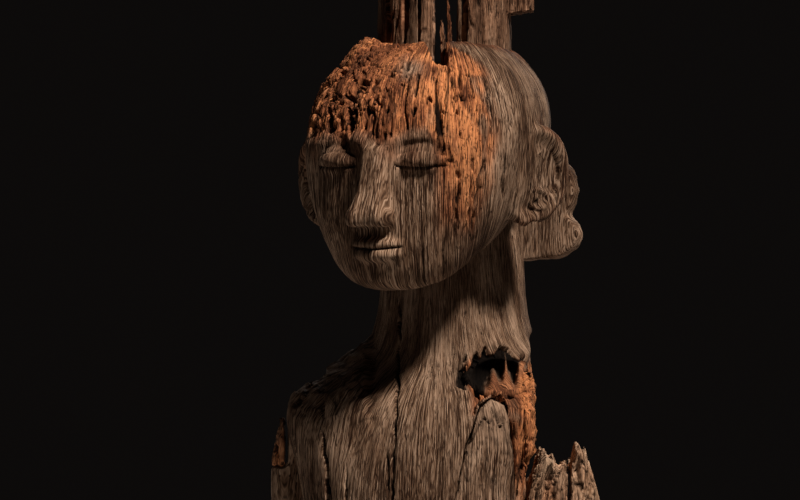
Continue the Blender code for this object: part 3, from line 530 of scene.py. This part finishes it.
def open_split(places, width, depth, behind=False):
    """Opens one drying split through these (across, height) places, in front or behind."""
    crossing, heights = np.array(places[::-1]).T
    line = np.interp(z, heights, crossing)
    near_it = (np.abs(across - line) < 0.008) & (z > heights[0] - 0.003) & (z < heights[-1] + 0.003)
    near_it &= (along > 0.03) if behind else (along < 0.03)
    spot, level = points[near_it], z[near_it]
    ends = ramp(level, heights[0] - 0.002, heights[0] + 0.012)
    ends *= ramp(level, heights[-1] + 0.002, heights[-1] - 0.012)
    line = line[near_it] + 0.0008 * noise(spot, (1, 1, 0.006), 21)
    half = 0.5 * width * (0.60 + 0.45 * noise(spot, (1, 1, 0.009), 22)) * (0.35 + 0.65 * ends)
    gap = ends * ramp(np.abs(across[near_it] - line), half + 0.0008, half - 0.0002)
    sunk[near_it] += depth * gap
    # The split is painted with shade.
    shade_and_darkening[near_it] = np.maximum(shade_and_darkening[near_it], gap * ramp(half, 0.0, 0.0006))


# Splits in front, each with its (across, height) places from the top down, its width and its depth.
for base, places, width, depth in (
    (SHOULDER_Z, ((-0.0255, 0.068), (-0.0272, 0.01), (-0.031, -0.06), (-0.034, -0.20)), 0.0021, 0.0045),
    (SHOULDER_Z, ((-0.088, -0.032), (-0.084, -0.060), (-0.080, -0.15)), 0.0032, 0.0045),
    (SHOULDER_Z, ((-0.068, -0.060), (-0.066, -0.14)), 0.0012, 0.003),
    (SHOULDER_Z, ((-0.036, -0.045), (-0.034, -0.085)), 0.0024, 0.002),
    (CHIN_Z, ((0.0410, 0.104), (0.036, 0.085), (0.0315, 0.060), (0.0285, 0.045)), 0.0028, 0.0045),
    (CHIN_Z, ((0.0215, 0.090), (0.019, 0.070), (0.0150, 0.040)), 0.0022, 0.004),
    (CHIN_Z, ((0.001, 0.095), (-0.004, 0.070)), 0.0016, 0.003),
    (CHIN_Z, ((0.039, 0.178), (0.0425, 0.155), (0.044, 0.135)), 0.0030, 0.005),
    (CHIN_Z, ((0.022, 0.182), (0.0215, 0.155)), 0.0036, 0.006),
    (CHIN_Z, ((0.012, 0.182), (0.0125, 0.166)), 0.0038, 0.007),
    (CHIN_Z, ((0.0280, 0.158), (0.0282, 0.148)), 0.0060, 0.006),
    (CHIN_Z, ((-0.0685, 0.160), (-0.067, 0.135), (-0.064, 0.116)), 0.0070, 0.010),
    (CHIN_Z, ((-0.084, 0.150), (-0.082, 0.118)), 0.0045, 0.007),
    (CHIN_Z, ((0.057, 0.110), (0.054, 0.070)), 0.0013, 0.003),
    (CHIN_Z, ((0.063, 0.150), (0.058, 0.115)), 0.0011, 0.002),
):
    open_split([(sideways, base + height) for sideways, height in places], width, depth)
# Splits behind.
for base, places, width, depth in (
    (SHOULDER_Z, ((0.012, 0.05), (0.016, -0.05), (0.014, -0.30)), 0.0032, 0.006),
    (SHOULDER_Z, ((-0.046, -0.02), (-0.050, -0.20)), 0.0020, 0.004),
    (SHOULDER_Z, ((0.055, -0.10), (0.052, -0.36)), 0.0022, 0.004),
    (CHIN_Z, ((-0.015, 0.170), (-0.020, 0.100)), 0.0016, 0.003),
):
    open_split([(sideways, base + height) for sideways, height in places], width, depth, behind=True)

# The right shoulder has lost its skin in steps, and stands up in a ledge next to the neck.
right_top = ramp(normals[:, 2], 0.15, 0.6) * ramp(across, -0.040, -0.050)
right_top *= ramp(z, SHOULDER_Z - 0.045, SHOULDER_Z - 0.02) * ramp(z, SHOULDER_Z + 0.06, SHOULDER_Z + 0.03)
step_wall, step_tone = blocks(points, (0.015, 0.015, 0.012), 33)
ledge = ramp(across, -0.0860, -0.0835) * ramp(across, -0.046, -0.054) * ramp(along, 0.075, 0.050)
steps = 0.0045 * step_tone - 0.0075 * ledge * (0.6 + 0.4 * step_tone)
sunk += right_top * (steps + 0.0012 * noise(points, (0.004, 0.004, 0.02), 34))
# The walls of the steps are painted with shade.
shade_and_darkening = np.maximum(shade_and_darkening, 0.5 * right_top * ramp(step_wall, 0.10, 0.0))

# The rot hole under the left of the neck. Spurs of the fibrous core stand up in it, nearly to the
# skin, and only the arch above them is open, painted black as shade.
HOLE_CENTRE, HOLE_RADII = (0.0663, -0.0153, SHOULDER_Z + 0.0099), (0.0285, 0.0325, 0.0190)
in_hole = np.sqrt(np.sum(((points - HOLE_CENTRE) / HOLE_RADII) ** 2, axis=1))  # 1 at the hole's wall
inside = ramp(in_hole, 1.05, 0.98)
outside = (in_hole > 0.9) * (along < 0.02)
above_plate = ramp(z, SHOULDER_Z - 0.012, SHOULDER_Z + 0.004)
sideways = np.column_stack((across, 0 * across, 0 * across))
# Its upper edge is bitten back in teeth, with rot round it.
jag = noise(sideways, (0.0036, 1, 1), 35) + 0.4 * noise(points, (0.003, 0.003, 0.006), 44)
jag = ramp(jag, -0.05, 0.45)
reach = 1.02 + 0.36 * jag * above_plate
bite = outside * ramp(in_hole, reach + 0.03, reach - 0.05) * (normals[:, 1] < 0.3)
sunk += 0.0080 * bite
# Painted shade on the bitten edge.
shade_and_darkening = np.maximum(shade_and_darkening, bite * ramp(in_hole, reach, reach - 0.08))
rim = outside * ramp(in_hole, 1.30, 1.02)
rot += rim * 0.9 * patches(points, (0.006, 0.006, 0.010), 36, -0.5, 0.1) * above_plate
# Its lower lip stands a little back from the skin.
lip = ramp(across, 0.026, 0.034) * (in_hole > 0.98) * (normals[:, 1] < -0.2) * (x > 0.02)
lip *= ramp(z, SHOULDER_Z - 0.024, SHOULDER_Z - 0.016) * ramp(z, SHOULDER_Z + 0.008, SHOULDER_Z + 0.002)
sunk += lip * (0.0030 + 0.0020 * noise(points, (0.0045, 0.0045, 0.05), 48))
rot += lip * 0.9
ember += lip * 0.3
# The spurs: the core inside is brought forward to just behind the skin that the hole broke through,
# which is a smooth surface fitted to the sound wood around it.
flute = 0.5 + 0.5 * noise(sideways, (0.0046, 1, 1), 37) + 0.15 * noise(sideways, (0.0016, 1, 1), 53)
spur_top = SHOULDER_Z + 0.0040 + 0.0110 * flute + 0.0080 * stroke(across - 0.0585, 0.0013)
spur_top += 0.012 * ramp(across, 0.065, 0.071) - 0.014 * ramp(across, 0.046, 0.036)
spur = inside * ramp(z, spur_top + 0.002, spur_top - 0.005)
facing = -normals[:, 1] * math.cos(VIEW_TURN) + normals[:, 0] * math.sin(VIEW_TURN)
around = (in_hole > 1.1) & (in_hole < 2.0) & (facing > 0.35) & (across > 0.015) & (across < 0.088)
around &= (z > SHOULDER_Z - 0.012) | (across > 0.062)


def curved_surface(a, h):
    """The terms of a surface with one even curve each way, at these places across and up."""
    return np.column_stack((np.ones_like(a), a, h, a * a, a * h, h * h))


height = z - SHOULDER_Z
shape = np.linalg.lstsq(curved_surface(across[around], height[around]), along[around], rcond=None)[0]
depth_now = np.clip(along - curved_surface(across, height) @ shape, 0, 0.05)
behind_skin = 0.0030 + 0.0045 * (1 - flute) + 0.12 * np.clip(height, 0, 1)
behind_skin += 0.0010 * noise(points, (0.003, 0.003, 0.02), 49)
lift = spur * np.clip(depth_now - behind_skin, 0, 0.05)
# Painted shade: the arch above the spurs is made black.
shade_and_darkening = np.maximum(shade_and_darkening, inside * (1 - ramp(z, spur_top + 0.003, spur_top - 0.002)))
rot += inside * spur * 0.75
ember += inside * spur * 0.6 + 0.3 * rim

# The heartwood beside the plate is laid bare: orange, combed into strands, and torn along its edge.
fray = 0.012 * noise(points, (0.014, 0.014, 0.05), 45) + 0.006 * noise(points, (0.005, 0.005, 0.03), 46)
low_end = ramp(z + fray, SHOULDER_Z - 0.125, SHOULDER_Z - 0.105) * ramp(along + fray, 0.070, 0.055)
bare_front = ramp(across, 0.052, 0.058) * ramp(z, SHOULDER_Z - 0.018, SHOULDER_Z - 0.030) * (x > 0.03)
bare_side = ramp(across, 0.066, 0.072) * ramp(z + fray, SHOULDER_Z + 0.016, SHOULDER_Z + 0.004)
bare = np.maximum(bare_front, bare_side) * low_end
combed = fissures(points, (0.0040, 0.0040, 0.050), 0.17, 38)
combed *= patches(points, (0.01, 0.01, 0.03), 52, -0.2, 0.2)
# The grooves between the strands are painted with shade.
shade_and_darkening = np.maximum(shade_and_darkening, 0.85 * bare * combed)
strands = 0.0016 * noise(points, (0.0050, 0.0050, 0.045), 39)
strands += 0.0010 * noise(points, (0.003, 0.003, 0.008), 40)
strands += 0.0030 * noise(points, (0.012, 0.012, 0.06), 47) * ramp(across, 0.066, 0.072)
sunk += bare * (strands + 0.0026 * combed)
rot += bare * 0.95
ember += bare * 0.85
washed = ramp(z + fray, SHOULDER_Z - 0.060, SHOULDER_Z - 0.082)
bleach += bare * 0.7 * washed * patches(points, (0.008, 0.008, 0.014), 41, -0.2, 0.3)
torn_edge = ramp(across, 0.070, 0.080) * ramp(along, 0.050, 0.010)
torn_edge *= (z > SHOULDER_Z - 0.10) * ramp(z, SHOULDER_Z + 0.03, SHOULDER_Z + 0.01)
teeth = 0.0040 * noise(points, (0.016, 0.016, 0.0075), 42)
teeth += 0.0022 * noise(points, (0.008, 0.008, 0.0035), 43)
aside = torn_edge * (teeth - 0.0050)

# Fingers, laid flat on the belly, with a groove between each two.
HAND_Z, FINGER_WIDTH = log_low[2] + 0.228, 0.0060
on_hand = ramp(y, -0.078, -0.084) * ramp(side, 0.010, 0.014) * ramp(side, 0.052, 0.044)
on_hand *= ramp(z, HAND_Z - 0.015, HAND_Z - 0.011) * ramp(z, HAND_Z + 0.015, HAND_Z + 0.011)
from_groove = np.abs(((z - HAND_Z) / FINGER_WIDTH) % 1 - 0.5)
sunk += on_hand * 0.0022 * ramp(from_groove, 0.16, 0.0) * ramp(side, 0.050, 0.030)

points -= normals * sunk[:, None]
CLEFT_DEPTH = 0.022
points[:, 2] -= CLEFT_DEPTH * notch
forward = np.array((math.sin(VIEW_TURN), -math.cos(VIEW_TURN), 0.0))
leftward = np.array((math.cos(VIEW_TURN), math.sin(VIEW_TURN), 0.0))
points += forward * lift[:, None] + leftward * aside[:, None]
move_points(log, points)
for mark, values in (("rot", rot), ("shade_and_darkening", shade_and_darkening), ("bleach", bleach), ("ember", ember)):
    store(log, mark, values)
store_grain(log, round_the_pith(points))
bpy.ops.object.mode_set(mode="EDIT")
bpy.ops.mesh.select_all(action="SELECT")
bpy.ops.mesh.quads_convert_to_tris()
bpy.ops.object.mode_set(mode="OBJECT")
# The trunk is thinned out first, so that the head keeps its detail.
TRUNK_TOP = FINE_FROM_Z - 0.004
trunk = log.vertex_groups.new(name="trunk")
trunk.add(np.flatnonzero(points_of(log)[:, 2] < TRUNK_TOP).tolist(), 1.0, "REPLACE")
in_trunk = sum(1 for face in log.data.polygons if face.center.z < TRUNK_TOP)
keep = 1 - max(0, in_trunk - TRUNK_TRIANGLES) / len(log.data.polygons)
apply_modifier(log, "DECIMATE", decimate_type="COLLAPSE", ratio=keep, vertex_group="trunk")
keep = min(1, MOST_TRIANGLES / len(log.data.polygons))
apply_modifier(log, "DECIMATE", decimate_type="COLLAPSE", ratio=keep)
log.vertex_groups.clear()
log.data.shade_smooth()
GREY = {"dark": (0.030, 0.013, 0.007), "middle": (0.165, 0.091, 0.054), "pale": (0.41, 0.265, 0.180)}
RUST = {
    "rot_dark": (0.044, 0.013, 0.006),
    "rot_middle": (0.27, 0.092, 0.040),
    "rot_pale": (0.62, 0.235, 0.090),
}
log.data.materials.append(wood("weathered_hardwood", **GREY, **RUST))
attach(log, "figure")
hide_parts("figure_log")

# ---------------------------------------------------------------------------------------------
# The fragments that have parted from the log along the grain: the shell of the right shoulder, the
# tongue of old surface in front of the left one, and the two stumps that rot has left beside it.
# Each still stands where it split off.
WALL_FACE, KNOB_STANDS = 0.0540, 0.0230


def keep_knob_behind(board):
    """Cuts the rear board's projecting knob back to the wall's own face, except at its outer end."""
    points = points_of(board)
    x, y = points[:, 0], points[:, 1] - CREST_Y
    radius = np.hypot(x, y)
    round_by = np.degrees(np.arctan2(x, -y))
    face = WALL_FACE + KNOB_STANDS * ramp(round_by, 92, 100)
    points[:, :2] = (0, CREST_Y) + np.column_stack((x, y)) * np.minimum(1, face / radius)[:, None]
    move_points(board, points)


def fragment(node, name, slot, finish, grid=0.0012, **ways):
    """A split or rotted piece of the log: fibres combed up its sides, and its upper end torn to teeth."""
    tooth, fall = ways.get("tooth", 0), ways.get("fall", 0)  # metres off the upper end
    comb, pitted, thin = ways.get("comb", 1), ways.get("pitted", 0), ways.get("thin", 0)
    rotted, bleached = ways.get("rotted", 0), ways.get("bleached", 0)
    piece = copy_node(node, name)
    apply_modifier(piece, "REMESH", mode="VOXEL", voxel_size=grid)
    if node == "crest_rear_board":
        keep_knob_behind(piece)
    apply_modifier(piece, "SMOOTH", factor=0.5, iterations=3)
    points, normals = points_of(piece), normals_of(piece)
    low, high = points[:, 2].min(), points[:, 2].max()
    seed = 100 + 10 * len(name)
    strands = noise(points, (0.0050, 0.0050, 0.060), seed)
    strands += 0.6 * noise(points, (0.0024, 0.0024, 0.035), seed + 1)
    seams = fissures(points, (0.0055, 0.0055, 0.060), 0.13, seed + 2)
    seams *= patches(points, (0.012, 0.012, 0.03), seed + 3, 0.0, 0.4)
    pits = patches(points, (0.0024, 0.0024, 0.0042), seed + 4, 0.42, 0.66) * pitted
    crumbs = blocks(points, (0.0052, 0.0052, 0.0090), seed + 5)[1]
    sunk = comb * (0.0007 * strands + 0.0026 * seams) + 0.0018 * pits + pitted * 0.0018 * crumbs
    plan = np.column_stack((points[:, :2], np.zeros(len(points))))
    notch = 0.55 * noise(plan, (0.0060, 0.0060, 1), seed + 6)
    notch += 0.45 * noise(plan, (0.0028, 0.0028, 1), seed + 7)
    upper = ramp(points[:, 2], low + 0.35 * (high - low), high)
    grain = round_the_pith(points)
    points -= normals * sunk[:, None]
    away = ramp(across_split(points)[1], -0.03, 0.06)
    points[:, 2] -= upper * (tooth * np.clip(0.45 + notch, 0, 1.3) + fall * away)
    middle = points[:, :2].mean(axis=0)
    level = np.column_stack((np.zeros((len(points), 2)), points[:, 2]))
    eaten = 0.6 + 0.5 * noise(level, (1, 1, 0.014), seed + 10)
    eaten = thin * (eaten + 0.25 * noise(points, (0.01, 0.01, 0.008), seed + 11))
    points[:, :2] += (middle - points[:, :2]) * eaten[:, None]
    move_points(piece, points)
    store_grain(piece, grain)
    store(piece, "ember", rotted * (0.5 + 0.5 * noise(grain, (0.012, 0.012, 0.03), seed + 12)))
    store(piece, "rot", rotted * (0.75 + 0.5 * noise(points, (0.010, 0.010, 0.03), seed + 8)))
    worn = 0.3 + 1.1 * upper + 0.8 * noise(points, (0.008, 0.008, 0.02), seed + 9)
    store(piece, "bleach", bleached * worn)
    # The seams and pits are painted with shade.
    store(piece, "shade_and_darkening", np.maximum(0.85 * seams * min(comb, 1), 0.9 * pits))
    piece.data.shade_smooth()
    piece.data.materials.append(finish)
    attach(piece, "figure")
    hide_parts(node)


old_surface = wood("old_surface_wood", **GREY, **RUST)
SAP = {"dark": (0.09, 0.042, 0.022), "middle": (0.33, 0.195, 0.112), "pale": (0.64, 0.46, 0.32)}
sapwood = wood("rotted_sapwood", **SAP, **RUST)
fragment(
    "left_shoulder_plate", "left_shoulder_tongue", "weathered_wood", old_surface,
    comb=0.9, bleached=0.35, pitted=0.30, thin=-0.105,
)
fragment(
    "right_shoulder_shell", "right_shoulder_splinter", "rotted_red_wood", old_surface,
    tooth=0.004, rotted=0.9, pitted=0.8, grid=0.0010,
)
STUMP = {"comb": 1.4, "bleached": 0.22, "pitted": 0.9}
fragment(
    "left_flank_stump", "left_flank_rotted", "pale_soft_wood", sapwood,
    tooth=0.012, rotted=0.62, fall=0.030, **STUMP,
)
fragment(
    "left_arm_stump", "left_arm_rotted", "pale_soft_wood", sapwood,
    tooth=0.009, rotted=0.58, fall=0.024, **STUMP,
)

# ---------------------------------------------------------------------------------------------
# The crest. What is left of a tall hollow post on the crown: a ring of staves, split apart and
# weathered thin, with one broad board still standing behind them.
# The outer stave, the strip and the stub behind get the grey wood painted darker, as shade.
GREY_IN_SHADE = {"dark": (0.030, 0.014, 0.008), "middle": (0.115, 0.062, 0.035), "pale": (0.28, 0.175, 0.11)}
grey_wood_in_shade = wood("grey_wood_painted_in_shade", **GREY_IN_SHADE, **RUST)
for node, finish, slot, tooth, rotted, pitted, thin in (
    ("crest_stave_outer", grey_wood_in_shade, "dark_end_wood", 0.006, 0.15, 0.3, 0.16),
    ("crest_stave_first", old_surface, "rotted_red_wood", 0.008, 0.55, 0.2, 0.14),
    ("crest_stave_second", old_surface, "weathered_wood", 0.008, 0.25, 0.2, 0.20),
    ("crest_stave_third", old_surface, "weathered_wood", 0.008, 0.35, 0.3, 0.22),
    ("crest_splinter_short", old_surface, "rotted_red_wood", 0.004, 0.75, 0.6, 0.10),
    ("crest_splinter_tall", old_surface, "rotted_red_wood", 0.004, 0.80, 0.5, 0.12),
    ("crest_strip", grey_wood_in_shade, "dark_end_wood", 0.004, 0.2, 0.2, 0.05),
    ("crest_rear_board", old_surface, "weathered_wood", 0.012, 0.35, 0.3, 0.03),
    ("crest_rear_stub", grey_wood_in_shade, "dark_end_wood", 0.006, 0.2, 0.4, 0.08),
):
    name = node.replace("crest_", "crown_")
    ways = {"tooth": tooth, "rotted": rotted, "pitted": pitted, "thin": thin, "comb": 1.2}
    fragment(node, name, slot, finish, grid=0.0009, **ways)

# ---------------------------------------------------------------------------------------------
# The stand. A black-painted steel plate on felt, with two bright steel rods that go up into the
# sawn foot; each rod is held by a countersunk screw from below, and a felt disc parts wood and steel.


def turned_or_milled(node, name, finish, edge):
    """The CAD shape with its facets joined into true faces, and a small broken edge all round."""
    piece = copy_node(node, name)
    apply_modifier(piece, "DECIMATE", decimate_type="DISSOLVE", angle_limit=math.radians(1))
    sharp = {"limit_method": "ANGLE", "angle_limit": math.radians(40)}
    apply_modifier(piece, "BEVEL", width=edge, segments=2, **sharp)
    deselect()
    piece.select_set(True)
    bpy.context.view_layer.objects.active = piece
    bpy.ops.object.shade_smooth_by_angle(angle=math.radians(30))
    piece.data.materials.append(finish)
    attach(piece, "stand")
    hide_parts(node)


def painted_steel():
    """Black paint, a little orange-peeled, dusty on top and rubbed thin in places."""
    material, start = new_material("black_painted_steel")
    place = start.node("TexCoord", {}, output=3)
    peel = place.noise(0.0012, 0.0012, detail=2)
    dust = place.noise(0.045, 0.045, detail=5, roughness=0.65)
    scuff = place.noise(0.010, 0.010, detail=6, roughness=0.75).rise(0.60, 0.72)
    colour = (dust * 0.5).blend((0.010, 0.010, 0.011), (0.060, 0.056, 0.050))
    colour = (scuff * 0.35).blend(colour, (0.11, 0.10, 0.095))
    finish_material(material, start, colour, 0.36 + dust * 0.30 + scuff * 0.10, peel, 0.00008)
    return material


def bright_steel():
    """Drawn steel bar, with fine lines round it from the lathe and a dull bloom."""
    material, start = new_material("drawn_steel")
    place = start.node("TexCoord", {}, output=3)
    lines = place.noise(0.02, 0.0004, detail=2)
    bloom = place.noise(0.012, 0.02, detail=4)
    colour = bloom.blend((0.30, 0.29, 0.28), (0.56, 0.55, 0.53))
    finish_material(material, start, colour, 0.24 + bloom * 0.22 + lines * 0.06, lines, 0.00005)
    material.node_tree.nodes["Principled BSDF"].inputs["Metallic"].default_value = 1.0
    return material


def felt():
    """Pressed black wool felt, matted and linty."""
    material, start = new_material("black_wool_felt")
    place = start.node("TexCoord", {}, output=3)
    mat = place.noise(0.0016, 0.0016, detail=6, roughness=0.75)
    lint = place.noise(0.0005, 0.0025, detail=2).rise(0.62, 0.70)
    colour = mat.blend((0.008, 0.008, 0.009), (0.050, 0.048, 0.050))
    colour = (lint * 0.4).blend(colour, (0.14, 0.135, 0.13))
    finish_material(material, start, colour, 0.90 + mat * 0.1, mat + lint * 0.3, 0.0007)
    material.node_tree.nodes["Principled BSDF"].inputs["Sheen Weight"].default_value = 0.3
    return material


paint, steel, wool = painted_steel(), bright_steel(), felt()
turned_or_milled("base_plate", "stand_plate", paint, 0.0008)
turned_or_milled("base_felt", "stand_felt", wool, 0.0003)
turned_or_milled("foot_cushion", "foot_felt", wool, 0.0005)
for side in ("left", "right"):
    turned_or_milled("rod_" + side, "stand_rod_" + side, steel, 0.0003)
    turned_or_milled("rod_screw_" + side, "stand_screw_" + side, steel, 0.0002)

# ---------------------------------------------------------------------------------------------
# The floor and the lights. The figure stands on a plain pale floor in a dark room, and the floor ends
# below the camera's view.
FLOOR_SIZE = 9.4
deselect()
bpy.ops.mesh.primitive_plane_add(size=FLOOR_SIZE, location=(0, 0, -0.0005))
floor = bpy.context.object
floor_paint = bpy.data.materials.new("pale_floor")
floor_paint.use_nodes = True
floor_shader = floor_paint.node_tree.nodes["Principled BSDF"]
floor_shader.inputs["Base Color"].default_value = (0.52, 0.51, 0.50, 1)
floor_shader.inputs["Roughness"].default_value = 0.8
floor.data.materials.append(floor_paint)
# A soft key stands high on the right of the camera; weaker, broader lights fill the left and the back.
# Each row gives the turn from the camera in degrees, the height and distance, the power and the size.
AIM, LIGHT_SPREAD = mathutils.Vector((0, 0, log_high[2] - 0.1)), math.radians(60)
for name, away, height, distance, power, size, colour in (
    ("key", 38, 3.4, 2.2, 20.0, 0.40, (1.0, 0.93, 0.84)),
    ("fill", -95, 1.4, 2.6, 0.3, 2.0, (0.90, 0.95, 1.0)),
    ("back", 165, 1.5, 2.6, 5.0, 1.6, (1.0, 0.97, 0.93)),
):
    round_to = VIEW_TURN + math.radians(away)
    spot = mathutils.Vector((distance * math.sin(round_to), -distance * math.cos(round_to), height))
    bpy.ops.object.light_add(type="AREA", location=spot)
    light = bpy.context.object
    light.name = name + "_light"
    light.data.energy, light.data.size, light.data.color = power, size, colour
    light.data.spread = LIGHT_SPREAD
    light.rotation_euler = (AIM - spot).to_track_quat("-Z", "Y").to_euler()
world = bpy.data.worlds.new("studio")
world.use_nodes = True
world.node_tree.nodes["Background"].inputs["Color"].default_value = (0.0038, 0.0032, 0.0030, 1)
bpy.context.scene.world = world
bpy.context.scene.view_settings.view_transform = "Standard"
